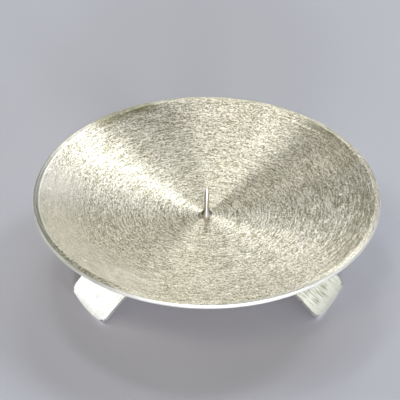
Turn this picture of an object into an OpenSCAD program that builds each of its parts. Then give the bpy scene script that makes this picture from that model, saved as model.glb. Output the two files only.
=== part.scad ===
/* [Dish] */
// Outer diameter of the dish, across its rim
dish_d = 140; // [110:1:200]
// Height of the rim's top above the table
rim_h = 35.5; // [31:0.5:60]
// Depth of the bowl below its rim, at the centre
bowl_depth = 11; // [7:0.5:14]
// Thickness of the spun metal
dish_t = 2; // [1.2:0.1:3.5]
// Width of the flat lip round the rim
lip_w = 2.5; // [1.5:0.1:6]
// Radius on the outer edges of the lip
lip_edge_r = 0.4; // [0.1:0.05:0.5]

/* [Spike] */
// Height of the spike's tip above the bowl
spike_h = 14; // [10:0.5:30]
// Diameter of the needle
needle_d = 2; // [1.2:0.1:2.8]
// Diameter of the blunted tip
tip_d = 0.5; // [0.2:0.05:1]
// Length of the needle's tapered point
point_h = 3.6; // [1:0.1:5]
// Diameter of the flared base that sits on the bowl
spike_base_d = 4.9; // [4.4:0.1:9]
// Height of the flare between the base and the needle
flare_h = 3.8; // [1.5:0.1:4.5]
// Height of the straight edge under the flare
base_edge_h = 0.3; // [0.1:0.05:1]

/* [Feet] */
// Width of the flat strap that each foot is bent from
foot_w = 25; // [14:1:30]
// Thickness of the strap
foot_t = 1.2; // [0.8:0.1:2.5]
// Distance from the centre of the dish to the top edge of a toe
foot_reach = 57.5; // [48:0.5:64]
// Slope of the straight part of a foot, in degrees
leg_slope = 37; // [34:1:44]
// Radius of the gentle curve towards the toe
toe_curve_r = 90; // [60:5:200]
// Length of that curve, along the strap
toe_curve_len = 13.5; // [6:0.5:18]
// Radius of the bend where the foot leaves the dish
bend_r = 6; // [3:0.5:10]
// Radius of the rounded toe, seen square to the strap
toe_end_r = 62; // [30:1:150]
// Radius on the two corners of a toe
toe_corner_r = 2.4; // [0.5:0.1:4]
// Depth of the flat ground on the underside of a toe
toe_ground = 0.3; // [0.1:0.05:0.6]

/* [Fastening] */
// Diameter of the threaded stud under the spike
stud_d = 3; // [2.5:0.1:3.5]
// Length of the stud past the nut
stud_past_nut = 1; // [0.5:0.1:3]
// Chamfer on the end of the stud
stud_chamfer = 0.4; // [0.1:0.05:0.6]
// Outer diameter of the plain washer
washer_d = 7; // [6:0.1:12]
// Thickness of the plain washer
washer_t = 0.5; // [0.3:0.05:1.5]
// Outer diameter of the split spring washer
spring_washer_d = 6.2; // [5.5:0.1:9]
// Thickness of the split spring washer
spring_washer_t = 0.8; // [0.5:0.05:1.6]
// Width of the split in the spring washer
split_w = 0.7; // [0.3:0.05:1.2]
// Width of the nut across its flats
nut_af = 5.5; // [5:0.1:8]
// Height of the nut
nut_h = 2.4; // [1.5:0.1:4]

/* [Fit] */
// Radial play of the stud in the dish and the washers
hole_play = 0.1; // [0.05:0.01:0.2]
// Radial play of the stud in the nut, whose thread is left plain
thread_play = 0.03; // [0.01:0.01:0.06]
// Least distance between the inner corners of two feet
tab_gap = 1.2; // [0.5:0.1:4]
// Least distance between a foot and the plain washer
tab_washer_gap = 1; // [0.5:0.1:4]

/* [Hidden] */

// How far a cutting shape runs past what it cuts
overrun = 1;
// Number of feet, and the half angle between two of them
foot_count = 3;
half_turn = 180 / foot_count;
// The way each foot points, counted from +X
foot_left_dir = -90 - half_turn;
foot_right_dir = -90 + half_turn;
foot_rear_dir = 90;
// Angles between the points that draw a curved strap
bend_step = 4;
toe_step = 1;
tab_step = 1;
// Slant of the split in the spring washer, and of the nut's chamfer
split_slant = 25;
nut_chamfer_slope = 30;

// The bowl is part of a ball that meets the lip's inner edge and the bowl's depth
bowl_edge_r = dish_d / 2 - lip_w;
bowl_r = (pow(bowl_edge_r, 2) + pow(bowl_depth, 2)) / (2 * bowl_depth);
ball_z = rim_h - bowl_depth + bowl_r;
under_r = bowl_r + dish_t;

// Height of the bowl's inside and underside at a distance from the centre
function bowl_z(r) = ball_z - sqrt(pow(bowl_r, 2) - pow(r, 2));
function under_z(r) = ball_z - sqrt(pow(under_r, 2) - pow(r, 2));

// The spike sits on the bowl by the edge of its base
spike_z = bowl_z(spike_base_d / 2);
hole_d = stud_d + 2 * hole_play;
tip_z = rim_h - bowl_depth + spike_h;
point_z = tip_z - point_h;
flare_step = (spike_base_d - needle_d) / 2;
flare_r = (pow(flare_step, 2) + pow(flare_h, 2)) / (2 * flare_step);

// The fasteners stack down from the edge of the hole in the underside
washer_z = under_z(hole_d / 2) - washer_t;
spring_washer_z = washer_z - spring_washer_t;
nut_z = spring_washer_z - nut_h;
stud_z = nut_z - stud_past_nut;

// Directions along and square to a strap that slopes down outwards
function along(slope) = [cos(slope), -sin(slope)];
function square_to(slope) = [sin(slope), cos(slope)];

// Slope of the strap at its toe, and the top edge of the toe
toe_slope = leg_slope + toe_curve_len / toe_curve_r * 180 / PI;
toe_top = [foot_reach, foot_t * cos(toe_slope) - toe_ground];
toe_centre = toe_top - toe_curve_r * square_to(toe_slope);
leg_start = toe_centre + toe_curve_r * square_to(leg_slope);

// The bend touches the leg and the underside of the bowl, so its centre lies
// where a line beside the leg meets a ball one bend radius larger
ball_to_leg = leg_start - bend_r * square_to(leg_slope) - [0, ball_z];
leg_back = -along(leg_slope);
leg_dot = ball_to_leg * leg_back;
leg_run = -leg_dot - sqrt(pow(leg_dot, 2) - ball_to_leg * ball_to_leg + pow(under_r + bend_r, 2));
bend_centre = ball_to_leg + [0, ball_z] + leg_run * leg_back;
tab_angle = atan2(bend_centre[0], ball_z - bend_centre[1]);

// The feet start where neither a neighbour nor the washer is in the way
tab_neighbour_r = (foot_w / 2 * cos(half_turn) + tab_gap / 2) / sin(half_turn);
tab_start_r = max(tab_neighbour_r, washer_d / 2 + tab_washer_gap);
tab_start_angle = asin(tab_start_r / under_r);

// Points at a radius round a centre, where the strap slopes from one angle to another
function slope_arc(centre, r, from, to, step) = let (n = max(2, ceil(abs(to - from) / step)))
  [for (i = [0:n]) centre + r * square_to(from + (to - from) * i / n)];

// Side view of a strap, which reaches into the ball so that the ball can trim it
function strap_side() = concat(
  slope_arc(toe_centre, toe_curve_r, toe_slope, leg_slope, toe_step),
  slope_arc(bend_centre, bend_r, leg_slope, -tab_angle, bend_step),
  slope_arc([0, ball_z], -(under_r - overrun), -tab_angle, -tab_start_angle, tab_step),
  slope_arc([0, ball_z], -(under_r + foot_t), -tab_start_angle, -tab_angle, tab_step),
  slope_arc(bend_centre, bend_r - foot_t, -tab_angle, leg_slope, bend_step),
  slope_arc(toe_centre, toe_curve_r - foot_t, leg_slope, toe_slope, toe_step)
);

// Section of the lip, which runs into the bowl's wall and has rounded outer edges
module lip_section() {
  lip_root_w = 2 * lip_w;
  round_x = dish_d / 2 - lip_edge_r;
  translate([dish_d / 2 - lip_root_w, rim_h - dish_t])
    square([lip_root_w - lip_edge_r, dish_t]);
  translate([round_x - lip_edge_r, rim_h - dish_t + lip_edge_r])
    square([2 * lip_edge_r, dish_t - 2 * lip_edge_r]);
  for (z = [rim_h - lip_edge_r, rim_h - dish_t + lip_edge_r])
    translate([round_x, z])
      circle(r = lip_edge_r, $fn = 48);
}

// Half of the dish's section: the ball under the bowl and the lip, less the ball inside
module dish_section() {
  difference() {
    union() {
      intersection() {
        translate([0, ball_z])
          circle(r = under_r, $fn = 360);
        translate([0, rim_h - bowl_depth - dish_t - overrun])
          square([dish_d / 2 - lip_w / 2, bowl_depth + dish_t + overrun]);
      }
      lip_section();
    }
    translate([0, ball_z])
      circle(r = bowl_r, $fn = 360);
  }
}

module dish() {
  color([0.78, 0.76, 0.71])
    difference() {
      rotate_extrude($fn = 360)
        dish_section();
      translate([0, 0, under_z(0) - overrun])
        cylinder(d = hole_d, h = dish_t + 2 * overrun, $fn = 64);
    }
}

// Half of the spike's section: needle and point, and the flare under them
module spike_section() {
  polygon([
    [0, spike_z],
    [needle_d / 2, spike_z],
    [needle_d / 2, point_z],
    [tip_d / 2, tip_z - tip_d / 4],
    [tip_d / 4, tip_z],
    [0, tip_z]
  ]);
  difference() {
    translate([0, spike_z])
      square([spike_base_d / 2, base_edge_h + flare_h]);
    translate([needle_d / 2 + flare_r, spike_z + base_edge_h + flare_h])
      circle(r = flare_r, $fn = 120);
  }
}

module spike() {
  shank_h = spike_z - stud_z - stud_chamfer;
  color([0.86, 0.85, 0.81])
    union() {
      rotate_extrude($fn = 72)
        spike_section();
      translate([0, 0, stud_z + stud_chamfer])
        cylinder(d = stud_d, h = shank_h + base_edge_h, $fn = 64);
      translate([0, 0, stud_z])
        cylinder(d1 = stud_d - 2 * stud_chamfer, d2 = stud_d, h = stud_chamfer, $fn = 64);
    }
}

// Outline of a strap seen square to its toe, with the middle of the toe at zero.
// The corner rounds touch the toe's arc from inside, at arc_y
module toe_outline() {
  strap_len = 2 * foot_reach;
  corner_y = foot_w / 2 - toe_corner_r;
  corner_x = sqrt(pow(toe_end_r - toe_corner_r, 2) - pow(corner_y, 2)) - toe_end_r;
  arc_y = corner_y * toe_end_r / (toe_end_r - toe_corner_r);
  union() {
    translate([-strap_len, -foot_w / 2])
      square([strap_len + corner_x, foot_w]);
    for (side = [-1, 1])
      translate([corner_x, side * corner_y])
        circle(r = toe_corner_r, $fn = 64);
    intersection() {
      translate([-strap_len, -arc_y])
        square([strap_len + overrun, 2 * arc_y]);
      translate([-toe_end_r, 0])
        circle(r = toe_end_r, $fn = 360);
    }
  }
}

// A foot that points along +X
module strap_foot() {
  cut_h = 2 * foot_reach;
  difference() {
    intersection() {
      translate([0, foot_w / 2, 0])
        rotate([90, 0, 0])
          linear_extrude(height = foot_w)
            polygon(strap_side());
      translate([toe_top[0], 0, toe_top[1]])
        rotate([0, toe_slope, 0])
          translate([0, 0, -cut_h / 2])
            linear_extrude(height = cut_h)
              toe_outline();
    }
    translate([0, 0, ball_z])
      sphere(r = under_r, $fn = 360);
    translate([0, -foot_w, -foot_reach])
      cube([2 * foot_reach, 2 * foot_w, foot_reach]);
  }
}

module foot(direction) {
  color([0.84, 0.83, 0.8])
    rotate([0, 0, direction])
      strap_foot();
}

// Flat ring that slips over the stud
module stud_ring(outer_d, t) {
  difference() {
    cylinder(d = outer_d, h = t, $fn = 64);
    translate([0, 0, -overrun])
      cylinder(d = hole_d, h = t + 2 * overrun, $fn = 64);
  }
}

module washer() {
  color([0.7, 0.7, 0.68])
    translate([0, 0, washer_z])
      stud_ring(washer_d, washer_t);
}

// Split ring whose slot leans over, as it does on a spring washer
module spring_washer() {
  slot_h = 2 * (spring_washer_t + overrun);
  color([0.62, 0.62, 0.62])
    translate([0, 0, spring_washer_z])
      difference() {
        stud_ring(spring_washer_d, spring_washer_t);
        translate([0, 0, spring_washer_t / 2])
          rotate([split_slant, 0, 0])
            translate([0, -split_w / 2, -slot_h / 2])
              cube([spring_washer_d, split_w, slot_h]);
      }
}

// Hexagon nut with both faces chamfered to the width across its flats
module nut() {
  nut_sides = 6;
  nut_corner_d = nut_af / cos(180 / nut_sides);
  chamfer_drop = (nut_corner_d - nut_af) / 2 * tan(nut_chamfer_slope);
  color([0.7, 0.7, 0.68])
    translate([0, 0, nut_z])
      difference() {
        intersection() {
          cylinder(d = nut_corner_d, h = nut_h, $fn = nut_sides);
          rotate_extrude($fn = 96)
            polygon([
              [0, 0],
              [nut_af / 2, 0],
              [nut_corner_d / 2, chamfer_drop],
              [nut_corner_d / 2, nut_h - chamfer_drop],
              [nut_af / 2, nut_h],
              [0, nut_h]
            ]);
        }
        translate([0, 0, -overrun])
          cylinder(d = stud_d + 2 * thread_play, h = nut_h + 2 * overrun, $fn = 64);
      }
}

dish();
spike();
foot(foot_left_dir);  // foot_left
foot(foot_right_dir);  // foot_right
foot(foot_rear_dir);  // foot_rear
washer();
spring_washer();
nut();
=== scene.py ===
"""A shallow spun candle plate with a spike, on three bent strap feet."""

import math

import bpy
from bpy.props import FloatProperty, FloatVectorProperty, IntProperty, PointerProperty
from bpy.types import NodeSocket, Operator, PropertyGroup
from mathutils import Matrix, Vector


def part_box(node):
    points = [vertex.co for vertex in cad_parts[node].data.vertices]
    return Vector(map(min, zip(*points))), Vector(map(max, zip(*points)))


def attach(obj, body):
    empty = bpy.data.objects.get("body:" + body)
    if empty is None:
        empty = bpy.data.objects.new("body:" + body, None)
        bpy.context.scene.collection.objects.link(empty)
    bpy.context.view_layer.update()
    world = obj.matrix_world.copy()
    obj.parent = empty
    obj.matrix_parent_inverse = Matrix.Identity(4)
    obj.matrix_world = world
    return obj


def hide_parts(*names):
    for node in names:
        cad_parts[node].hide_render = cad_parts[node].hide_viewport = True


bl_info = {
    "name": "Candle Plate",
    "version": (1, 0, 0),
    "blender": (4, 5, 0),
    "location": "3D View > Sidebar > Candle Plate",
    "description": "Builds a spiked candle plate on strap feet round its packed frame",
    "category": "Object",
}

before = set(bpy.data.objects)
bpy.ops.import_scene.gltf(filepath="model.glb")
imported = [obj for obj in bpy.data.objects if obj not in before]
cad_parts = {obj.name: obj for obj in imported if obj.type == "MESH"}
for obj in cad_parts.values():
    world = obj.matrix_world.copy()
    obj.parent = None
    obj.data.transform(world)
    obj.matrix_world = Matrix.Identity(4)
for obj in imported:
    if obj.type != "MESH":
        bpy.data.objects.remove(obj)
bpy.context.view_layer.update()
plate_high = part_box("dish")[1]
foot_low, foot_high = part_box("foot_rear")
spike_low, spike_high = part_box("spike")
washer_low, washer_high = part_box("washer")
spring_low, spring_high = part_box("spring_washer")
nut_low, nut_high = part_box("nut")

MM = 0.001
QUARTER = math.pi / 2
FULL_TURN = 2 * math.pi
WELD_GAP = 0.002 * MM
# With no window open, bpy.ops.transform.rotate turns the other way
TURN_SIGN = -1

# Steps of the arcs and sweeps that the pieces are made of
BOWL_STEPS = 56
UNDERSIDE_STEPS = 40
LIP_STEPS = 6
FLARE_STEPS = 16
TIP_STEPS = 6
THREAD_STEPS = 40
EDGE_STEPS = 3
TAB_STEPS = 10
BEND_STEPS = 14
LEG_STEPS = 6
TOE_STEPS = 12
TOE_ROWS = 5
TOE_POINTS = 8
SMALL_SEGMENTS = 72

# Shares of the lip's width between which its hollow is deepest, and the width of the rubbed rim
LIP_HOLLOW_SPAN = (0.36, 0.6)
RUBBED_RIM = 0.3 * MM

# The spike's small edges, and how far its shoulder is softened along the needle and inwards
SPIKE_EDGE = 0.08 * MM
SHOULDER_SOFT = 0.25 * MM
SHOULDER_IN = 0.012 * MM
POINT_IN = 0.01 * MM

# The thread: depth, heights of its corners and run-out in shares of its pitch, and how its ends shrink
THREAD_DEPTH = 0.61
THREAD_CORNERS = (0.1, 0.44, 0.56, 0.9)
THREAD_RUN_OUT = (0.8, 0.2)
THREAD_END_SCALE = (0.72, 0.72, 1)
# Height of its start above the stud's end
THREAD_START = 0.15 * MM

# Chamfer of the nut's corners, width of its mouth's chamfer, and its play on the stud
NUT_CHAMFER = math.radians(30)
NUT_MOUTH = 0.25 * MM
NUT_PLAY = 0.03 * MM

# The strap: how far its swept toe may miss its place, and how exactly a row of the toe is picked
TOE_MISS = 0.05 * MM
ROW_ACROSS = 0.01 * MM
ROW_ALONG = 0.1 * MM
# Depth of the band that is fitted to the bowl, how it widens past the tab, and where it fades out
TAB_BAND = 0.1 * MM
TAB_BAND_GROWTH = 0.4
TAB_FADE = 3 * MM
# Height of the ground flat's vertices, edges sharp enough to round, share of height in the grain's map
GROUND_BAND = 0.02 * MM
SHARP_EDGE = math.radians(50)
GRAIN_CLIMB = 0.3

# Short straight strokes that cross the brushed circles, laid in a few ways, and pale flecks
STROKE_WAYS = 12
STROKE_SPREAD = math.radians(24)
STROKE_LENGTH = 1.2 * MM
STROKE_GAP = 0.33 * MM
STROKE_SHIFT = 17.3
FLECK_SHARE = 0.014

# Sectors of the plate that hold marks, painted shade and a painted highlight: the middle, half width and
# soft edge in degrees from +X
WORN_SECTOR = (204, 30, 22)
STREAK_SECTOR = (119, 9, 6)
NICKED_SECTOR = (223, 11, 12)
DULL_SECTORS = ((38, 14, 14), (336, 18, 14))
SHADED_LIP_SECTOR = (188, 20, 16)
CREASE_HIGHLIGHT_SECTOR = (178, 34, 12)
OUTLINED_SECTOR = (98, 30, 14)

# Each lamp's azimuth, elevation and half width in degrees, and its radiance
LAMPS = (
    ("key_lamp", 84, 47, 4, (9.0, 10.0, 10.6)),
    ("rear_lamp", 67, 42, 12, (1.85, 2.05, 2.4)),
    ("rear_wall", 80, 15, 16, (0.97, 1.05, 1.0)),
    ("middle_lamp", 90, 37, 5, (1.9, 2.2, 2.2)),
    ("high_lamp", 118, 66, 5, (10.5, 11.6, 12.4)),
    ("top_lamp", 95, 76, 4, (6.0, 6.5, 7.0)),
    ("left_lamp", 158, 30, 13, (2.5, 2.7, 2.75)),
    ("right_lamp", 20, 28, 13, (1.4, 1.55, 1.45)),
    ("right_high_lamp", 35, 50, 8, (8.0, 8.9, 10.0)),
    ("front_lamp", 268, 9, 8, (38, 42, 50)),
    ("low_front_lamp", 268, 4, 3, (90, 94, 94)),
    ("low_right_lamp", 301, 4, 3, (100, 120, 130)),
    ("side_lamp", 310, 15, 12, (2.6, 3.0, 4.0)),
    ("front_left_lamp", 240, 55, 8, (5.3, 5.1, 3.7)),
)
LAMP_DISTANCE = 1.6
LAMP_TARGET = (0, 0, 0.03)
FLOOR_WIDTH = 12

# The camera's place, and where the rim's centre lies in the picture, in pixels
CAMERA_TURN = math.radians(-2.6)
CAMERA_RISE = math.radians(36.8)
CAMERA_ROLL = math.radians(0.28)
CAMERA_DISTANCE = 0.7
SENSOR_WIDTH = 36
PICTURE_SIZE = 400
FOCAL_LENGTH = 1735
RIM_CENTRE = (206.7, 192.5)

# Each foot's piece, the node that it stands for and its turn in degrees from +X
FEET = (
    ("strap_left", "foot_left", -150),
    ("strap_right", "foot_right", -30),
    ("strap_rear", "foot_rear", 90),
)


# Sizes and colours that a user would change


def length(name, description, default):
    return FloatProperty(
        name=name, description=description, default=default, min=0,
        precision=4, subtype="DISTANCE", unit="LENGTH",
    )


def colour(name, description, default):
    return FloatVectorProperty(
        name=name, description=description, default=default,
        size=3, min=0, max=1, subtype="COLOR",
    )


def share(name, description, default):
    return FloatProperty(
        name=name, description=description, default=default, min=0, max=1, subtype="FACTOR"
    )


class PlateSizes(PropertyGroup):
    rim_radius: length("Rim radius", "Outer radius of the plate", plate_high.x)
    rim_height: length("Rim height", "Top of the lip above the table", plate_high.z)
    bowl_depth: length("Bowl depth", "Depth of the bowl below its lip", 11.0 * MM)
    wall: length("Wall", "Thickness of the spun metal", 2.0 * MM)
    lip_width: length("Lip width", "Width of the flat lip", 2.5 * MM)
    lip_round: length("Lip round", "Radius on the outer edges of the lip", 0.7 * MM)
    lip_hollow: length("Lip hollow", "How far the lip dips between its edges", 0.07 * MM)
    crease_round: length("Crease round", "Radius where bowl and lip meet", 1.2 * MM)
    hole_radius: length("Hole radius", "Radius of the hole for the stud", 1.6 * MM)
    segments: IntProperty(
        name="Segments", description="Faces round the plate", default=256, min=48, max=512
    )


class SpikeSizes(PropertyGroup):
    tip_height: length("Tip height", "Top of the spike above the table", spike_high.z)
    needle_radius: length("Needle radius", "Radius of the straight needle", 1.0 * MM)
    point_length: length("Point length", "Length of the tapered point", 3.6 * MM)
    tip_radius: length("Tip radius", "Radius of the blunted tip", 0.25 * MM)
    base_radius: length("Base radius", "Radius of the flared base", 2.45 * MM)
    flare_height: length("Flare height", "Height of the flare", 3.8 * MM)
    base_edge: length("Base edge", "Height of the straight edge under the flare", 0.3 * MM)
    stud_radius: length("Stud radius", "Outer radius of the threaded stud", 1.5 * MM)
    thread_pitch: length("Thread pitch", "Rise of the thread in one turn", 0.5 * MM)


class FootSizes(PropertyGroup):
    width: length("Width", "Width of the strap", 25 * MM)
    thickness: length("Thickness", "Thickness of the strap", 1.2 * MM)
    reach: length("Reach", "Distance of a toe's top edge from the middle", foot_high.y)
    toe_curve: length("Toe curve", "Radius of the gentle curve to the toe", 90 * MM)
    toe_curve_length: length("Toe curve length", "Length of that curve", 13.5 * MM)
    bend: length("Bend", "Radius of the bend under the plate", 6 * MM)
    toe_end: length("Toe end", "Radius of the rounded toe", 62 * MM)
    toe_corner: length("Toe corner", "Radius on the corners of the toe", 2.4 * MM)
    toe_ground: length("Ground flat", "Depth of the flat under the toe", 0.3 * MM)
    edge_round: length("Edge round", "Rounding of the strap's edges", 0.16 * MM)
    leg_slope: FloatProperty(
        name="Leg slope", description="Slope of the straight part",
        default=math.radians(37), subtype="ANGLE", unit="ROTATION",
    )


class FastenerSizes(PropertyGroup):
    nut_across_flats: length("Nut width", "Width of the nut across its flats", 5.5 * MM)
    edge_round: length("Edge round", "Rounding of the washers' edges", 0.08 * MM)
    split: length("Split", "Width of the split in the spring washer", 0.7 * MM)


class Finishes(PropertyGroup):
    plate_colour: colour("Plate", "Colour of the plate's metal where it is bright", (1.0, 0.885, 0.735))
    plate_dark: colour("Plate, dark", "Colour of the plate's metal between the strokes", (0.2, 0.165, 0.07))
    worn_colour: colour("Worn metal", "Colour of the smoother metal near the rim", (0.85, 0.75, 0.62))
    # The stain colour also paints the shade along the back of the lip's outer edge
    stain_and_shade_colour: colour("Stain", "Colour of the nicks and of the dark streak", (0.26, 0.23, 0.12))
    # The lip colour is faint tarnish all round, and painted shade on the lip's left side
    lip_colour: colour("Lip", "Colour of the tarnish on the flat lip", (0.24, 0.24, 0.21))
    # The edge colour also paints the highlight along the lip's crease
    edge_colour: colour("Edge", "Colour of the rim's outer edge", (1.0, 0.95, 0.85))
    foot_colour: colour("Feet", "Colour of the strap's metal", (0.98, 0.92, 0.87))
    foot_dark: colour("Feet, dark", "Colour of the scratches on the straps", (0.28, 0.25, 0.15))
    spike_colour: colour("Spike", "Colour of the spike's metal", (1.0, 0.95, 0.81))
    # Painted shade on the left and right sides of the spike's flared base
    flare_shade_colour: colour("Grime", "Colour of the grime at the spike's base", (0.08, 0.07, 0.02))
    zinc_colour: colour("Zinc", "Colour of the plated fasteners", (0.72, 0.72, 0.70))
    zinc_dark: colour("Zinc, dark", "Colour of the dull spots on the zinc", (0.38, 0.38, 0.38))
    plate_roughness: share("Plate roughness", "Roughness of the plate", 0.37)
    plate_anisotropy: share("Plate anisotropy", "How far the gloss follows the scratches", 0.98)
    edge_roughness: share("Edge roughness", "Roughness of the plate's outer edge", 0.6)
    stroke_share: share("Strokes", "Share of the surface that crossing strokes cover", 0.5)
    grain_tilt: FloatProperty(
        name="Grain tilt", description="How far single lines of the grain turn", default=1.3
    )
    spike_roughness: share("Spike roughness", "Roughness of the spike", 0.5)
    spike_anisotropy: share("Spike anisotropy", "How far the gloss follows the turning", 0.75)
    foot_roughness: share("Foot roughness", "Roughness of the straps", 0.3)
    foot_anisotropy: share("Foot anisotropy", "How far the gloss follows the brushing", 0.5)


class StageLook(PropertyGroup):
    floor_colour: colour("Floor", "Colour of the floor", (0.63, 0.602, 0.625))
    floor_roughness: share("Floor roughness", "Roughness of the floor", 0.9)
    world_colour: colour("World", "Colour of the surroundings", (1, 0.9, 0.82))
    world_level: share("World level", "Brightness of the surroundings", 0.08)


# Small tools for modelling


def object_mode():
    bpy.ops.object.mode_set(mode="OBJECT")


def edit_mode():
    bpy.ops.object.mode_set(mode="EDIT")


def select_all(action="SELECT"):
    bpy.ops.mesh.select_all(action=action)


def apply_place():
    bpy.ops.object.transform_apply(location=True, rotation=True, scale=True)


def deselect_everything():
    active = bpy.context.view_layer.objects.active
    if active and active.mode != "OBJECT":
        object_mode()
    bpy.ops.object.select_all(action="DESELECT")


def select_only(piece):
    deselect_everything()
    piece.select_set(True)
    bpy.context.view_layer.objects.active = piece


def edit_whole(piece):
    """Opens the piece in edit mode with all of it selected."""
    select_only(piece)
    edit_mode()
    select_all()


def draw_chain(name, points):
    """Draws a chain of vertices through the points and leaves the piece in edit mode."""
    deselect_everything()
    bpy.ops.mesh.primitive_plane_add(size=MM, location=points[0])
    piece = bpy.context.object
    piece.name = piece.data.name = name
    apply_place()
    edit_mode()
    select_all()
    bpy.ops.mesh.merge(type="CENTER")
    for last, point in zip(points, points[1:]):
        step = Vector(point) - Vector(last)
        bpy.ops.mesh.extrude_vertices_move(TRANSFORM_OT_translate={"value": step})
    return piece


def draw_out(step):
    """Extrudes the selection by a step."""
    bpy.ops.mesh.extrude_region_move(TRANSFORM_OT_translate={"value": step})


def draw_section(name, points):
    """Draws a chain of points (x, z) in the plane y = 0."""
    return draw_chain(name, [(x, 0, z) for x, z in points])


def spin_section(piece, segments, turn=FULL_TURN):
    """Turns the drawn section into a solid about the upright axis."""
    select_all()
    bpy.ops.mesh.spin(steps=segments, angle=turn, center=(0, 0, 0), axis=(0, 0, 1))
    select_all()
    bpy.ops.mesh.remove_doubles(threshold=WELD_GAP)
    bpy.ops.mesh.normals_make_consistent(inside=False)
    object_mode()
    return piece


def arc(centre, radius, start, end, steps):
    """Points (x, z) on an arc, with angles counted from +X towards +Z."""
    angles = [start + (end - start) * i / steps for i in range(steps + 1)]
    return [(centre[0] + radius * math.cos(a), centre[1] + radius * math.sin(a)) for a in angles]


def smooth(piece, degrees):
    select_only(piece)
    bpy.ops.object.shade_smooth_by_angle(angle=math.radians(degrees))


def pick_vertices(piece, wanted):
    """Selects, in edit mode, the vertices whose place passes the test."""
    select_all("DESELECT")
    bpy.ops.mesh.select_mode(type="VERT")
    object_mode()
    for vertex in piece.data.vertices:
        vertex.select = wanted(vertex.co)
    edit_mode()


def middle_of_selection(piece):
    object_mode()
    places = [vertex.co.copy() for vertex in piece.data.vertices if vertex.select]
    edit_mode()
    return sum(places, Vector()) / len(places)


def apply_modifier(piece, kind, **settings):
    select_only(piece)
    bpy.ops.object.modifier_add(type=kind)
    modifier = piece.modifiers[-1]
    for name, value in settings.items():
        setattr(modifier, name, value)
    bpy.ops.object.modifier_apply(modifier=modifier.name)


def turned_copy(piece, name, turn):
    """A copy with its own mesh, turned about the upright axis."""
    select_only(piece)
    bpy.ops.object.duplicate(linked=False)
    copy = bpy.context.object
    copy.name = copy.data.name = name
    copy.rotation_euler = (0, 0, turn)
    apply_place()
    return copy


def join_to(piece, other):
    select_only(piece)
    other.select_set(True)
    bpy.ops.object.join()


def finish_piece(piece, material, node):
    piece.data.materials.clear()
    piece.data.materials.append(material)
    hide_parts(node)
    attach(piece, "root")


# Small tools for materials, which add their nodes to the tree of the outputs that they get


def new_material(name):
    material = bpy.data.materials.new(name)
    material.use_nodes = True
    return material, material.node_tree, material.node_tree.nodes["Principled BSDF"]


def is_output(value):
    return isinstance(value, NodeSocket)


def connect(value, socket):
    """Links an output to a socket, or writes a plain value into it."""
    if is_output(value):
        socket.id_data.links.new(value, socket)
    elif value is not None:
        socket.default_value = value


def add_node(kind, *values):
    """A node whose first sockets take the values, of which one at least is an output."""
    tree = next(value.id_data for value in values if is_output(value))
    node = tree.nodes.new(kind)
    for socket, value in zip(node.inputs, values):
        connect(value, socket)
    return node


def maths(operation, *values):
    node = add_node("ShaderNodeMath", *values)
    node.operation = operation
    return node.outputs[0]


def times(*factors):
    product = factors[0]
    for factor in factors[1:]:
        product = maths("MULTIPLY", product, factor)
    return product


def plus(first, second):
    return maths("ADD", first, second)


def larger(first, second):
    return maths("MAXIMUM", first, second)


def rest_of(mask):
    """1 where the mask is 0, and 0 where it is 1."""
    return maths("SUBTRACT", 1, mask)


def vector_maths(operation, first, second=None, scale=None):
    node = add_node("ShaderNodeVectorMath", first, second, None, scale)
    node.operation = operation
    return node.outputs["Value"] if operation in ("LENGTH", "DOT_PRODUCT") else node.outputs[0]


def dot(first, second):
    return vector_maths("DOT_PRODUCT", first, second)


def object_place(tree):
    return tree.nodes.new("ShaderNodeTexCoord").outputs["Object"]


def parts_of(vector):
    return add_node("ShaderNodeSeparateXYZ", vector).outputs


def combine(x, y, z):
    return add_node("ShaderNodeCombineXYZ", x, y, z).outputs[0]


def noise(vector, scale, detail=2.0, roughness=0.5):
    return add_node("ShaderNodeTexNoise", vector, None, scale, detail, roughness).outputs[0]


def remap(value, low, high, to_low, to_high):
    return add_node("ShaderNodeMapRange", value, low, high, to_low, to_high).outputs[0]


def step_up(value, low, high):
    """Rises smoothly from 0 to 1 between the two values."""
    node = add_node("ShaderNodeMapRange", value, low, high)
    node.interpolation_type = "SMOOTHSTEP"
    return node.outputs[0]


def mix(kind, factor, first, second):
    """Blends two values of a kind, which is FLOAT, VECTOR or RGBA."""
    node = add_node("ShaderNodeMix", factor)
    node.data_type = kind
    first_at, result_at = {"FLOAT": (2, 0), "VECTOR": (4, 1), "RGBA": (6, 2)}[kind]
    connect(first, node.inputs[first_at])
    connect(second, node.inputs[first_at + 1])
    return node.outputs[result_at]


def mix_colours(factor, first, second):
    opaque = [value if is_output(value) else (*value, 1) for value in (first, second)]
    return mix("RGBA", factor, *opaque)


def near(offset, full, gone):
    """1 while the offset from zero is under full, fading to 0 at gone."""
    return rest_of(step_up(maths("ABSOLUTE", offset), full, gone))


def centred(value, gain):
    """The noise about zero, times the gain."""
    return times(maths("SUBTRACT", value, 0.5), gain)


def cells_with(cell, covered, full, gone):
    """Marks in the given share of the cells, full at their middle, and a random shade for each."""
    node = add_node("ShaderNodeTexVoronoi", cell, None, 1)
    node.voronoi_dimensions = "2D"
    chance, shade = add_node("ShaderNodeSeparateColor", node.outputs["Color"]).outputs[:2]
    here = maths("LESS_THAN", chance, covered)
    return times(here, remap(node.outputs["Distance"], full, gone, 1, 0)), shade


def toward(way, guide):
    """The way, or its opposite, whichever points along the guide."""
    return vector_maths("SCALE", way, scale=maths("SIGN", dot(guide, way)))


def add_bump(shader, height, strength, distance):
    bump = add_node("ShaderNodeBump", strength, distance, None, height)
    connect(bump.outputs[0], shader.inputs["Normal"])


def toned_metal(tone, dark, light):
    """Metal colour for a tone: 0 is the dark one, 1 the light one."""
    return mix_colours(remap(tone, 0, 1, 0, 1), dark, light)


def set_metal(shader, metal, roughness, anisotropy=0, tangent=None):
    values = {"Base Color": metal, "Metallic": 1, "Roughness": roughness}
    values |= {"Anisotropic": anisotropy, "Tangent": tangent}
    for name, value in values.items():
        connect(value, shader.inputs[name])


# The plate's finish


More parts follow.
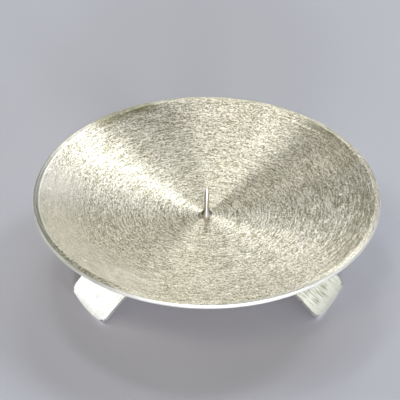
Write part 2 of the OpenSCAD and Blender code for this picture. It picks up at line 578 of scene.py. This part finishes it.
class PlatePlan:
    """Node outputs that tell where a point of the plate lies."""

    def __init__(self, tree, sizes):
        self.place = object_place(tree)
        self.x, self.y = parts_of(self.place)[:2]
        flat = combine(self.x, self.y, 0)
        self.radius = vector_maths("LENGTH", flat)
        self.outward = vector_maths("NORMALIZE", flat)
        self.bowl_radius = sizes.rim_radius - sizes.lip_width
        self.lip = self.beyond(self.bowl_radius + 0.2 * MM, self.bowl_radius + 0.6 * MM)

    def beyond(self, start, end):
        """0 within the start radius, 1 beyond the end radius."""
        return step_up(self.radius, start, end)

    def outer_bowl(self, start, end):
        """As beyond, for shares of the bowl's radius."""
        return self.beyond(start * self.bowl_radius, end * self.bowl_radius)

    def around(self, sector):
        """1 in the sector, 0 outside its soft edge."""
        middle, half_width, soft = (math.radians(angle) for angle in sector)
        facing = dot(self.outward, (math.cos(middle), math.sin(middle), 0))
        return step_up(facing, math.cos(half_width + soft), math.cos(half_width))

    def circles(self, along, across):
        """Noise in fine circles, with its scale along them and across them."""
        vector = combine(
            times(self.x, along),
            times(self.y, along),
            maths("MULTIPLY_ADD", self.radius, across, along),
        )
        return noise(vector, scale=1, detail=1, roughness=0.6)


def brushing(plan, look):
    """The brushing's tone, tangent and height: fine circles, crossed by short straight strokes."""
    fine = plan.circles(along=190, across=2400)
    speck = noise(plan.place, scale=2600, detail=1)
    tone = plus(centred(fine, gain=2.9), centred(speck, gain=5.6))
    away_from_spike = remap(plan.radius, 4 * MM, 36 * MM, 0.15, 1)
    tilt = centred(plan.circles(along=160, across=2100), look.grain_tilt)
    beside = vector_maths("CROSS_PRODUCT", plan.outward, (0, 0, 1))
    lean = vector_maths("SCALE", beside, scale=times(tilt, away_from_spike))
    across = vector_maths("ADD", plan.outward, lean)
    for i in range(STROKE_WAYS):
        turn = math.pi * (i + 0.5) / STROKE_WAYS
        way = (math.cos(turn), math.sin(turn), 0)
        square = (-math.sin(turn), math.cos(turn), 0)
        off_circle = maths("ABSOLUTE", dot(plan.outward, way))
        covered = remap(off_circle, 0, math.sin(STROKE_SPREAD), look.stroke_share, 0)
        cell = combine(
            maths("MULTIPLY_ADD", dot(plan.place, way), 1 / STROKE_LENGTH, STROKE_SHIFT * i),
            times(dot(plan.place, square), 1 / STROKE_GAP),
            0,
        )
        stroke, shade = cells_with(cell, times(covered, away_from_spike), 0.3, 0.5)
        across = mix("VECTOR", stroke, across, toward(square, plan.outward))
        tone = mix("FLOAT", stroke, tone, remap(shade, 0, 1, -0.9, 0.9))
    height = maths("MULTIPLY_ADD", speck, 0.5, fine)
    return tone, vector_maths("NORMALIZE", across), height, speck


def worn_patch(plan):
    """A smoother patch on one side of the bowl, and its warmer part near the rim."""
    blotch = 14 * MM
    ragged = maths("MULTIPLY_ADD", noise(plan.place, scale=70), blotch, plan.radius)

    def ragged_beyond(start, end):
        low, high = (part * plan.bowl_radius + blotch / 2 for part in (start, end))
        return step_up(ragged, low, high)

    worn = times(ragged_beyond(0.45, 0.85), plan.around(WORN_SECTOR))
    return worn, times(worn, ragged_beyond(0.7, 0.93))


def pale_flecks(plan):
    """Small bright chips, scattered over the outer bowl."""
    cell = combine(times(plan.x, 330), times(plan.y, 520), 0)
    flecks = cells_with(cell, FLECK_SHARE, 0.18, 0.34)[0]
    return times(flecks, plan.outer_bowl(0.3, 0.5))


def dark_rim_marks(plan, speck):
    """A dark streak near the rim, and two dull bands with streaks along the circles."""
    streak = times(plan.around(STREAK_SECTOR), plan.outer_bowl(0.93, 0.985))
    streak = times(streak, step_up(speck, 0.38, 0.6))
    bands = larger(*(plan.around(sector) for sector in DULL_SECTORS))
    streaks = step_up(plan.circles(along=60, across=1100), 0.38, 0.58)
    dull = times(plan.outer_bowl(0.8, 0.95), 0.45, bands, streaks, rest_of(plan.lip))
    return larger(times(streak, 0.9), dull)


# Faint tarnish all round the lip, with much stronger darkening in one sector on the left, which is painted
# shade standing in for a dark reflection
def lip_tarnish_and_shade(plan):
    mottle = remap(plan.circles(along=90, across=1500), 0.35, 0.65, 0.45, 1)
    strength = maths("MULTIPLY_ADD", plan.around(SHADED_LIP_SECTOR), 0.75, 0.05)
    return times(plan.lip, times(strength, mottle))


def plate_metal(look, sizes):
    """Warm silver, brushed by hand in circles with short crossing strokes."""
    material, tree, shader = new_material("plate_brushed_metal")
    plan = PlatePlan(tree, sizes)
    worn, tanned = worn_patch(plan)
    tone, tangent, height, speck = brushing(plan, look)
    calm = larger(times(worn, 0.6), times(plan.lip, 0.6))
    tone = maths("MULTIPLY_ADD", tone, rest_of(calm), 0.53)
    # Painted highlight: a bright line along the crease on the left side of the lip
    past_crease = maths("SUBTRACT", plan.radius, plan.bowl_radius + 0.1 * MM)
    crease_highlight = times(near(past_crease, 0.15 * MM, 0.45 * MM), plan.around(CREASE_HIGHLIGHT_SECTOR))
    off_lip = maths("SUBTRACT", past_crease, 0.7 * MM)
    nicks = times(near(off_lip, 0.8 * MM, 1.2 * MM), plan.around(NICKED_SECTOR))
    nicks = times(nicks, step_up(noise(plan.place, scale=900, detail=1), 0.42, 0.56))
    # Painted shade: a dark line along the outer part of the lip at the back
    outline = plan.beyond(sizes.rim_radius - 0.8 * MM, sizes.rim_radius - 0.4 * MM)
    outline = times(outline, plan.around(OUTLINED_SECTOR))
    metal = toned_metal(tone, look.plate_dark, look.plate_colour)
    # Layers: warm wear, pale flecks, dark rim marks, lip tarnish with painted shade, a painted crease
    # highlight, painted shade at the back edge, and dark nicks
    for mask, layer in (
        (times(tanned, 0.45), look.worn_colour),
        (pale_flecks(plan), look.edge_colour),
        (dark_rim_marks(plan, speck), look.stain_and_shade_colour),
        (lip_tarnish_and_shade(plan), look.lip_colour),
        (times(crease_highlight, 0.8), look.edge_colour),
        (larger(times(outline, 0.7), times(nicks, 0.75)), look.stain_and_shade_colour),
    ):
        metal = mix_colours(mask, metal, layer)
    set_metal(shader, metal, look.plate_roughness, look.plate_anisotropy, tangent)
    add_bump(shader, maths("SUBTRACT", height, nicks), 0.5, 0.05 * MM)
    return material


def edge_metal(look):
    """The rim's outer edge, rubbed bright and finely pitted."""
    material, tree, shader = new_material("edge_rubbed_metal")
    place = object_place(tree)
    pits = noise(place, scale=1800)
    cloud = noise(place, scale=160)
    tone = plus(centred(pits, gain=0.6), centred(cloud, gain=0.5))
    tone = plus(tone, 0.9)
    metal = toned_metal(tone, look.lip_colour, look.edge_colour)
    set_metal(shader, metal, look.edge_roughness)
    add_bump(shader, pits, 0.3, 0.03 * MM)
    return material


# The finishes of the other pieces


def strap_metal(look, sizes):
    """Bright silver, brushed along the strap, with more scratches at the right, and a toe end free of
    scratches and painted brighter as a highlight.
    """
    material, tree, shader = new_material("strap_brushed_metal")
    grain = tree.nodes.new("ShaderNodeUVMap")
    grain.uv_map = "grain"
    across, along = parts_of(grain.outputs[0])[:2]

    def lines(length_each, gap, shift):
        lengthwise = maths("MULTIPLY_ADD", along, 1 / length_each, shift)
        return combine(lengthwise, times(across, 1 / gap), 0)

    fine = noise(lines(6 * MM, 0.38 * MM, 0), scale=1, roughness=0.6)
    broad = noise(lines(22 * MM, 2.4 * MM, 3), scale=1)
    patch = noise(lines(12 * MM, 9 * MM, 7), scale=1, detail=1)
    x = parts_of(object_place(tree))[0]
    wear = remap(x, -20 * MM, 20 * MM, 0.3, 1)
    scratched = times(remap(patch, 0.4, 0.6, 0.2, 0.85), wear)
    scratch, shade = cells_with(lines(5 * MM, 0.34 * MM, 11), scratched, 0.25, 0.5)
    # Painted highlight: the toe's end is painted brighter, and its scratches are worn away
    toe_wear_and_sheen = step_up(along, sizes.reach - 5 * MM, sizes.reach - 1.5 * MM)
    scratch = times(scratch, rest_of(toe_wear_and_sheen))
    tone = plus(centred(fine, gain=1.3), centred(broad, gain=0.4))
    tone = plus(tone, maths("MULTIPLY_ADD", toe_wear_and_sheen, 0.1, 0.86))
    depth = times(scratch, remap(shade, 0, 1, 0.3, 1.1))
    tone = maths("SUBTRACT", tone, depth)
    metal = toned_metal(tone, look.foot_dark, look.foot_colour)
    tangent = tree.nodes.new("ShaderNodeTangent")
    tangent.direction_type = "UV_MAP"
    tangent.uv_map = "grain"
    set_metal(shader, metal, look.foot_roughness, look.foot_anisotropy, tangent.outputs[0])
    add_bump(shader, maths("SUBTRACT", fine, scratch), 0.35, 0.05 * MM)
    return material


def spike_metal(look, seat):
    """Polished steel with the fine rings that turning leaves, and painted shade on the left and right sides
    of its flared base.
    """
    material, tree, shader = new_material("spike_polished_metal")
    x, y, z = parts_of(object_place(tree))
    rings = combine(times(x, 40), times(y, 40), times(z, 5200))
    turned = noise(rings, scale=1, roughness=0.6)
    tone = plus(centred(turned, gain=0.5), 0.95)
    metal = toned_metal(tone, look.foot_dark, look.spike_colour)
    # Painted shade: low on the flare, the sides that face left and right are darkened
    radius = vector_maths("LENGTH", combine(x, y, 0))
    sideways = maths("DIVIDE", maths("ABSOLUTE", x), radius)
    low = rest_of(step_up(z, seat + 1.8 * MM, seat + 4.2 * MM))
    low = times(low, step_up(z, seat + 0.3 * MM, seat + 0.7 * MM))
    flare_shade = times(step_up(sideways, 0.6, 0.85), low, 0.9)
    metal = mix_colours(flare_shade, metal, look.flare_shade_colour)
    upright = tree.nodes.new("ShaderNodeCombineXYZ")
    upright.inputs["Z"].default_value = 1
    set_metal(shader, metal, look.spike_roughness, look.spike_anisotropy, upright.outputs[0])
    add_bump(shader, turned, 0.15, 0.02 * MM)
    return material


def zinc_plate(look):
    """Dull grey zinc with a faint spangle and a few rubbed spots."""
    material, tree, shader = new_material("zinc_plated_metal")
    place = object_place(tree)
    cloud = noise(place, scale=900, detail=3, roughness=0.6)
    speck = noise(place, scale=5000)
    tone = plus(centred(cloud, gain=0.8), centred(speck, gain=0.5))
    tone = plus(tone, 0.7)
    metal = toned_metal(tone, look.zinc_dark, look.zinc_colour)
    set_metal(shader, metal, remap(cloud, 0.3, 0.7, 0.28, 0.42))
    add_bump(shader, speck, 0.15, 0.02 * MM)
    return material


# The plate


def bowl_ball(sizes):
    """Radius of the ball that the bowl is part of, and the height of its middle."""
    inner_edge = sizes.rim_radius - sizes.lip_width
    ball = (inner_edge ** 2 + sizes.bowl_depth ** 2) / (2 * sizes.bowl_depth)
    return ball, sizes.rim_height - sizes.bowl_depth + ball


def plate_section(sizes):
    """Closed section of the plate: bowl, crease, hollow lip, its rounded edges and underside."""
    inner_edge = sizes.rim_radius - sizes.lip_width
    ball, ball_height = bowl_ball(sizes)
    middle = (0, ball_height)
    rim_slope = math.asin(inner_edge / ball)
    tangent = sizes.crease_round * math.tan(rim_slope / 2)
    bowl_start = math.asin(sizes.hole_radius / ball) - QUARTER
    bowl_end = math.asin((inner_edge - tangent * math.cos(rim_slope)) / ball) - QUARTER
    section = arc(middle, ball, bowl_start, bowl_end, BOWL_STEPS)
    crease = (inner_edge + tangent, sizes.rim_height - sizes.crease_round)
    crease_start = QUARTER + rim_slope
    section += arc(crease, sizes.crease_round, crease_start, QUARTER, EDGE_STEPS)[1:]
    hollow = sizes.rim_height - sizes.lip_hollow
    section += [(inner_edge + part * sizes.lip_width, hollow) for part in LIP_HOLLOW_SPAN]
    round_x = sizes.rim_radius - sizes.lip_round
    lip_bottom = sizes.rim_height - sizes.wall
    upper = (round_x, sizes.rim_height - sizes.lip_round)
    lower = (round_x, lip_bottom + sizes.lip_round)
    section += arc(upper, sizes.lip_round, QUARTER, 0, LIP_STEPS)
    section += arc(lower, sizes.lip_round, 0, -QUARTER, LIP_STEPS)
    outer_ball = ball + sizes.wall
    under_edge = math.sqrt(outer_ball ** 2 - (ball_height - lip_bottom) ** 2)
    under_start = math.asin(under_edge / outer_ball) - QUARTER
    under_end = math.asin(sizes.hole_radius / outer_ball) - QUARTER
    section += arc(middle, outer_ball, under_start, under_end, UNDERSIDE_STEPS)
    return section + [section[0]]


class PLATE_OT_dish(Operator):
    """Spins the plate from its section"""

    bl_idname = "candle_plate.dish"
    bl_label = "Build the plate"

    def execute(self, context):
        sizes = context.scene.candle_plate_sizes
        look = context.scene.candle_plate_finishes
        piece = spin_section(draw_section("plate", plate_section(sizes)), sizes.segments)
        smooth(piece, degrees=30)
        finish_piece(piece, plate_metal(look, sizes), "dish")
        piece.data.materials.append(edge_metal(look))
        for face in piece.data.polygons:
            if face.center.xy.length > sizes.rim_radius - RUBBED_RIM:
                face.material_index = 1
        return {"FINISHED"}


# The spike


def spike_section(sizes, seat, core):
    """Section from the end of the stud's core up to the tip."""
    foot = spike_low.z
    needle = sizes.needle_radius
    section = [(0, foot), (core - 2 * SPIKE_EDGE, foot), (core, foot + 2 * SPIKE_EDGE), (core, seat)]
    base_round = (sizes.base_radius - SPIKE_EDGE, seat + SPIKE_EDGE)
    section += arc(base_round, SPIKE_EDGE, -QUARTER, 0, EDGE_STEPS)
    section.append((sizes.base_radius, seat + sizes.base_edge - SPIKE_EDGE))
    flare_step = sizes.base_radius - needle
    flare = (flare_step ** 2 + sizes.flare_height ** 2) / (2 * flare_step)
    flare_turn = math.asin(sizes.flare_height / flare)
    flare_top = seat + sizes.base_edge + sizes.flare_height
    section += arc((needle + flare, flare_top), flare, math.pi + flare_turn, math.pi, FLARE_STEPS)
    shoulder = sizes.tip_height - sizes.point_length
    slope = (needle - sizes.tip_radius) / sizes.point_length
    section += [
        (needle, flare_top + SHOULDER_SOFT),
        (needle, shoulder - SHOULDER_SOFT),
        (needle - SHOULDER_IN, shoulder),
        (needle - SHOULDER_SOFT * slope - POINT_IN, shoulder + SHOULDER_SOFT),
    ]
    dome = (0, sizes.tip_height - sizes.tip_radius)
    section += arc(dome, sizes.tip_radius, math.atan(slope), QUARTER, TIP_STEPS)
    section[-1] = (0, sizes.tip_height)
    return section


def wind_thread(sizes, seat, core):
    """Winds the closed thread round the stud and lets both ends run out."""
    pitch = sizes.thread_pitch
    crest = sizes.stud_radius
    start = spike_low.z + THREAD_START
    turns = int((seat - start) / pitch) - 1
    radii = (core - SPIKE_EDGE, core, crest, crest, core, core - SPIKE_EDGE)
    heights = (start + part * pitch for part in (0, *THREAD_CORNERS, 1))
    thread = draw_section("thread", list(zip(radii, heights)))
    object_mode()
    apply_modifier(
        thread, "SCREW", steps=THREAD_STEPS, render_steps=THREAD_STEPS, screw_offset=pitch,
        iterations=turns, use_merge_vertices=True, use_smooth_shade=False,
    )
    edit_whole(thread)
    bpy.ops.mesh.remove_doubles(threshold=WELD_GAP)
    select_all("DESELECT")
    bpy.ops.mesh.select_non_manifold()
    bpy.ops.mesh.edge_face_add()
    select_all()
    bpy.ops.mesh.normals_make_consistent(inside=False)
    first, last = THREAD_RUN_OUT
    for end_z, sign in ((start + first * pitch, -1), (start + (turns + last) * pitch, 1)):
        pick_vertices(thread, lambda co: (co.z - end_z) * sign > 0)
        bpy.ops.transform.resize(value=THREAD_END_SCALE, center_override=(0, 0, end_z))
    object_mode()
    return thread


class PLATE_OT_spike(Operator):
    """Turns the spike and winds the thread on its stud"""

    bl_idname = "candle_plate.spike"
    bl_label = "Build the spike"

    def execute(self, context):
        sizes = context.scene.candle_spike_sizes
        ball, ball_height = bowl_ball(context.scene.candle_plate_sizes)
        seat = ball_height - math.sqrt(ball ** 2 - sizes.base_radius ** 2)
        core = sizes.stud_radius - THREAD_DEPTH * sizes.thread_pitch
        section = spike_section(sizes, seat, core)
        piece = spin_section(draw_section("spike_turned", section), SMALL_SEGMENTS)
        join_to(piece, wind_thread(sizes, seat, core))
        smooth(piece, degrees=28)
        metal = spike_metal(context.scene.candle_plate_finishes, seat)
        finish_piece(piece, metal, "spike")
        return {"FINISHED"}


# The feet


def square_to(slope):
    """Upward unit vector that is square to a strap falling towards +X at the slope."""
    return Vector((math.sin(slope), 0, math.cos(slope)))


def below(angle):
    """Unit vector down from the ball's middle, leaning towards +X by the angle."""
    return Vector((math.sin(angle), 0, -math.cos(angle)))


class StrapPlan:
    """The strap's line from the side, with its toe towards +X."""

    def __init__(self, sizes, plate):
        ball, ball_height = bowl_ball(plate)
        slope = sizes.leg_slope
        self.outer_ball = ball + plate.wall
        self.middle = Vector((0, 0, ball_height))
        self.toe_slope = slope + sizes.toe_curve_length / sizes.toe_curve
        toe_height = sizes.thickness * math.cos(self.toe_slope) - sizes.toe_ground
        self.toe_top = Vector((sizes.reach, 0, toe_height))
        self.toe_middle = self.toe_top - sizes.toe_curve * square_to(self.toe_slope)
        leg_end = self.toe_middle + sizes.toe_curve * square_to(slope)
        self.leg_way = Vector((math.cos(slope), 0, -math.sin(slope)))
        offset = leg_end - sizes.bend * square_to(slope) - self.middle
        along = offset.dot(-self.leg_way)
        touch = (self.outer_ball + sizes.bend) ** 2
        self.leg_run = -along - math.sqrt(along ** 2 - offset.length_squared + touch)
        self.bend_middle = offset + self.middle - self.leg_way * self.leg_run
        self.tab_end = math.atan2(self.bend_middle.x, ball_height - self.bend_middle.z)
        self.tab_start = math.asin(foot_low.y / self.outer_ball)


def strap_columns(sizes):
    """Places across the strap and how far the toe's outline lies back at each."""
    end = sizes.toe_end
    corner = sizes.toe_corner
    corner_y = sizes.width / 2 - corner
    corner_x = math.sqrt((end - corner) ** 2 - corner_y ** 2) - end
    arc_y = corner_y * end / (end - corner)
    start = math.asin(corner_y / (end - corner))
    right = []
    for i in range(TOE_POINTS):
        turn = QUARTER + (start - QUARTER) * i / (TOE_POINTS - 1)
        right.append((corner_y + corner * math.sin(turn), corner_x + corner * math.cos(turn)))
    for i in range(1, TOE_POINTS):
        y = arc_y * (1 - i / TOE_POINTS)
        right.append((y, math.sqrt(end ** 2 - y ** 2) - end))
    left = [(-y, x) for y, x in right]
    return left + [(0, 0)] + right[::-1]


def sweep_strap(sizes, plan, columns):
    """Sweeps the strap's cross-section along its line and leaves the piece in edit mode."""
    inner = plan.middle + plan.outer_ball * below(plan.tab_start)
    piece = draw_chain("strap", [inner + Vector((0, y, 0)) for y, back in columns])
    select_all()
    draw_out(sizes.thickness * below(plan.tab_start))
    select_all()

    def swing(turn, steps, about):
        before = middle_of_selection(piece)
        bpy.ops.mesh.spin(steps=steps, angle=turn, center=about, axis=(0, 1, 0))
        if middle_of_selection(piece).x < before.x:
            raise RuntimeError("The strap was swept the wrong way")

    swing(plan.tab_end - plan.tab_start, TAB_STEPS, plan.middle)
    swing(-(sizes.leg_slope + plan.tab_end), BEND_STEPS, plan.bend_middle)
    for _ in range(LEG_STEPS):
        draw_out(plan.leg_way * (plan.leg_run / LEG_STEPS))
    swing(-(plan.toe_slope - sizes.leg_slope), TOE_STEPS, plan.toe_middle)
    wanted = plan.toe_top - square_to(plan.toe_slope) * (sizes.thickness / 2)
    miss = (middle_of_selection(piece) - wanted).length
    if miss > TOE_MISS:
        raise RuntimeError(f"The toe is {miss / MM:.2f} mm off its place")
    return piece


def round_toe(piece, sizes, plan, columns):
    """Turns the strap's last rows back to the outline of the toe and leaves edit mode."""
    shaped = TOE_ROWS * sizes.toe_curve_length / TOE_STEPS

    def from_toe(place):
        off = place - plan.toe_middle
        if off.z <= 0:
            return 1
        return (plan.toe_slope - math.atan2(off.x, off.z)) * sizes.toe_curve

    for y, back in columns:
        if y < 0:
            continue
        for row in range(TOE_ROWS):
            place = row * shaped / TOE_ROWS
            pick_vertices(
                piece,
                lambda co: abs(abs(co.y) - y) < ROW_ACROSS and abs(from_toe(co) - place) < ROW_ALONG,
            )
            bpy.ops.transform.rotate(
                value=TURN_SIGN * back * (1 - place / shaped) / sizes.toe_curve,
                orient_axis="Y", center_override=plan.toe_middle,
            )
    object_mode()


def fit_tab(piece, plan, target):
    """Lays the top of the tab on the underside of the plate."""
    tab_top = piece.vertex_groups.new(name="tab_top")
    tab_x = plan.outer_ball * math.sin(plan.tab_end)
    for vertex in piece.data.vertices:
        off = vertex.co - plan.middle
        off.y = 0
        past = max(0, vertex.co.x - tab_x)
        on_top = off.length < plan.outer_ball + TAB_BAND + TAB_BAND_GROWTH * past
        if on_top and past < TAB_FADE:
            tab_top.add([vertex.index], 1 - past / TAB_FADE, "REPLACE")
    apply_modifier(
        piece, "SHRINKWRAP", target=target, vertex_group="tab_top", wrap_method="PROJECT",
        use_project_z=True, use_positive_direction=True, use_negative_direction=True,
        project_limit=MM,
    )


def grind_toe(piece, sizes):
    """Cuts the toe flat at the table, rounds the edges and keeps the flat on the table."""
    edit_whole(piece)
    bpy.ops.mesh.normals_make_consistent(inside=False)
    bpy.ops.mesh.bisect(plane_co=(0, 0, 0), plane_no=(0, 0, 1), use_fill=True, clear_inner=True)
    object_mode()
    apply_modifier(
        piece, "BEVEL", width=sizes.edge_round, segments=EDGE_STEPS, limit_method="ANGLE",
        angle_limit=SHARP_EDGE,
    )
    edit_whole(piece)
    pick_vertices(piece, lambda co: co.z < GROUND_BAND)
    bpy.ops.transform.resize(value=(1, 1, 0), center_override=(0, 0, 0))
    object_mode()


def map_grain(piece):
    """Maps the strap for the brushing: U across it and V along it."""
    uv = piece.data.uv_layers.new(name="grain")
    for loop in piece.data.loops:
        co = piece.data.vertices[loop.vertex_index].co
        uv.data[loop.index].uv = (co.y + GRAIN_CLIMB * co.z, co.x - GRAIN_CLIMB * co.z)


class PLATE_OT_feet(Operator):
    """Bends one strap foot and sets three of them under the plate"""

    bl_idname = "candle_plate.feet"
    bl_label = "Build the feet"

    def execute(self, context):
        sizes = context.scene.candle_foot_sizes
        target = bpy.data.objects.get("plate")
        if target is None:
            raise RuntimeError("Build the plate first")
        plan = StrapPlan(sizes, context.scene.candle_plate_sizes)
        columns = strap_columns(sizes)
        piece = sweep_strap(sizes, plan, columns)
        round_toe(piece, sizes, plan, columns)
        fit_tab(piece, plan, target)
        grind_toe(piece, sizes)
        map_grain(piece)
        smooth(piece, degrees=32)
        apply_modifier(piece, "WEIGHTED_NORMAL", keep_sharp=True)
        metal = strap_metal(context.scene.candle_plate_finishes, sizes)
        for name, node, turn in FEET:
            foot = turned_copy(piece, name, math.radians(turn))
            finish_piece(foot, metal, node)
        bpy.data.objects.remove(piece)
        return {"FINISHED"}


# The fasteners


def ring_section(hole, low, high, round_r):
    """Closed section of a flat ring that fills its box from low to high, with rounded edges."""
    inner_x = hole + round_r
    outer_x = high.x - round_r
    low_z = low.z + round_r
    high_z = high.z - round_r
    section = []
    corners = ((outer_x, low_z), (outer_x, high_z), (inner_x, high_z), (inner_x, low_z))
    for i, corner in enumerate(corners):
        start = (i - 1) * QUARTER
        section += arc(corner, round_r, start, start + QUARTER, EDGE_STEPS)
    return section + [section[0]]


def spring_ring(sizes, hole):
    """The spring washer: a ring with a slit at +X."""
    split_turn = sizes.split / ((hole + spring_high.x) / 2)
    section = ring_section(hole, spring_low, spring_high, sizes.edge_round)
    spring = draw_section("spring_ring", section)
    select_all()
    bpy.ops.mesh.remove_doubles(threshold=WELD_GAP)
    select_all()
    bpy.ops.mesh.edge_face_add()
    spin_section(spring, SMALL_SEGMENTS, FULL_TURN - split_turn)
    spring.rotation_euler = (0, 0, split_turn / 2)
    select_only(spring)
    apply_place()
    return spring


def hex_nut(sizes, bore):
    """A six-sided nut with chamfered corners and a bore with chamfered mouths."""
    deselect_everything()
    low = nut_low.z
    high = nut_high.z
    flat = sizes.nut_across_flats / 2
    sixth = math.pi / 6
    corner = flat / math.cos(sixth)
    bpy.ops.mesh.primitive_cylinder_add(
        vertices=6, radius=corner, depth=high - low,
        location=(0, 0, (low + high) / 2), rotation=(0, 0, sixth),
    )
    nut = bpy.context.object
    nut.name = nut.data.name = "hex_nut"
    apply_place()
    past = corner + MM
    drop = (corner - flat) * math.tan(NUT_CHAMFER) * (1 + MM / (corner - flat))
    mouth = bore + NUT_MOUTH
    cutter = draw_section("nut_cutter", [
        (mouth, low), (flat, low), (past, low + drop),
        (past, high - drop), (flat, high), (mouth, high),
        (bore, high - NUT_MOUTH), (bore, low + NUT_MOUTH), (mouth, low),
    ])
    spin_section(cutter, SMALL_SEGMENTS)
    apply_modifier(nut, "BOOLEAN", operation="INTERSECT", object=cutter, solver="EXACT")
    bpy.data.objects.remove(cutter)
    return nut


class PLATE_OT_fasteners(Operator):
    """Makes the washer, the split spring washer and the nut under the plate"""

    bl_idname = "candle_plate.fasteners"
    bl_label = "Build the fasteners"

    def execute(self, context):
        sizes = context.scene.candle_fastener_sizes
        hole = context.scene.candle_plate_sizes.hole_radius
        stud = context.scene.candle_spike_sizes.stud_radius
        zinc = zinc_plate(context.scene.candle_plate_finishes)
        section = ring_section(hole, washer_low, washer_high, sizes.edge_round)
        washer = spin_section(draw_section("flat_washer", section), SMALL_SEGMENTS)
        spring = spring_ring(sizes, hole)
        nut = hex_nut(sizes, stud + NUT_PLAY)
        fasteners = ((washer, "washer", 40), (spring, "spring_washer", 40), (nut, "nut", 25))
        for piece, node, degrees in fasteners:
            smooth(piece, degrees)
            finish_piece(piece, zinc, node)
        return {"FINISHED"}


# The stage


def direction(turn, rise):
    """Unit vector turned from +X about the upright axis and raised by an angle."""
    return Vector((math.cos(turn) * math.cos(rise), math.sin(turn) * math.cos(rise), math.sin(rise)))


def aim(thing, target):
    way = Vector(target) - thing.location
    thing.rotation_euler = way.to_track_quat("-Z", "Y").to_euler()


def soft_lamp(name, azimuth, elevation, radius_angle, radiance):
    """A round soft lamp, placed and sized by the angles at which the plate sees it."""
    deselect_everything()
    way = direction(math.radians(azimuth), math.radians(elevation))
    bpy.ops.object.light_add(type="AREA", location=way * LAMP_DISTANCE)
    lamp = bpy.context.object
    lamp.name = name
    lamp.data.shape = "DISK"
    radius = LAMP_DISTANCE * math.tan(math.radians(radius_angle))
    lamp.data.size = 2 * radius
    brightest = max(radiance)
    lamp.data.energy = brightest * (math.pi * radius) ** 2
    lamp.data.color = [level / brightest for level in radiance]
    lamp.visible_camera = False
    aim(lamp, LAMP_TARGET)


class PLATE_OT_stage(Operator):
    """Adds the floor, the lamps and the camera"""

    bl_idname = "candle_plate.stage"
    bl_label = "Set the stage"

    def execute(self, context):
        look = context.scene.candle_plate_stage
        deselect_everything()
        bpy.ops.mesh.primitive_plane_add(size=FLOOR_WIDTH)
        floor = context.object
        floor.name = "floor"
        material, tree, shader = new_material("pale_floor")
        shader.inputs["Base Color"].default_value = (*look.floor_colour, 1)
        shader.inputs["Roughness"].default_value = look.floor_roughness
        open_below = tree.nodes.new("ShaderNodeBsdfTransparent")
        side = tree.nodes.new("ShaderNodeNewGeometry").outputs["Backfacing"]
        mixer = add_node("ShaderNodeMixShader", side, shader.outputs[0], open_below.outputs[0])
        connect(mixer.outputs[0], tree.nodes["Material Output"].inputs["Surface"])
        floor.data.materials.append(material)
        world = bpy.data.worlds.new("studio")
        world.use_nodes = True
        context.scene.world = world
        back = world.node_tree.nodes["Background"]
        back.inputs["Color"].default_value = (*look.world_colour, 1)
        back.inputs["Strength"].default_value = look.world_level
        for lamp in LAMPS:
            soft_lamp(*lamp)
        bpy.ops.object.camera_add()
        camera = context.object
        camera.name = "camera"
        away = direction(CAMERA_TURN - QUARTER, CAMERA_RISE)
        right = Vector((math.cos(CAMERA_TURN), math.sin(CAMERA_TURN), 0))
        up = away.cross(right)
        rim = Vector((0, 0, plate_high.z))
        camera.location = rim + away * CAMERA_DISTANCE
        beside, above = (
            (PICTURE_SIZE / 2 - place) / FOCAL_LENGTH * CAMERA_DISTANCE for place in RIM_CENTRE
        )
        aim(camera, rim + right * beside - up * above)
        camera.rotation_euler.rotate_axis("Z", CAMERA_ROLL)
        camera.data.sensor_width = SENSOR_WIDTH
        camera.data.lens = SENSOR_WIDTH * FOCAL_LENGTH / PICTURE_SIZE
        context.scene.camera = camera
        context.scene.view_settings.view_transform = "Standard"
        return {"FINISHED"}


class PLATE_PT_panel(bpy.types.Panel):
    """Lists the steps that build the candle plate"""

    bl_label = "Candle Plate"
    bl_idname = "PLATE_PT_panel"
    bl_space_type = "VIEW_3D"
    bl_region_type = "UI"
    bl_category = "Candle Plate"

    def draw(self, context):
        for step in STEPS:
            self.layout.operator(step.bl_idname)


STEPS = (PLATE_OT_dish, PLATE_OT_spike, PLATE_OT_feet, PLATE_OT_fasteners, PLATE_OT_stage)
GROUPS = {
    "candle_plate_sizes": PlateSizes,
    "candle_spike_sizes": SpikeSizes,
    "candle_foot_sizes": FootSizes,
    "candle_fastener_sizes": FastenerSizes,
    "candle_plate_finishes": Finishes,
    "candle_plate_stage": StageLook,
}
CLASSES = (*GROUPS.values(), *STEPS, PLATE_PT_panel)


def register():
    for kind in CLASSES:
        bpy.utils.register_class(kind)
    for name, group in GROUPS.items():
        setattr(bpy.types.Scene, name, PointerProperty(type=group))


def unregister():
    for name in GROUPS:
        delattr(bpy.types.Scene, name)
    for kind in reversed(CLASSES):
        bpy.utils.unregister_class(kind)


def main():
    register()
    bpy.ops.candle_plate.dish()
    bpy.ops.candle_plate.spike()
    bpy.ops.candle_plate.feet()
    bpy.ops.candle_plate.fasteners()
    bpy.ops.candle_plate.stage()


if __name__ == "__main__":
    main()
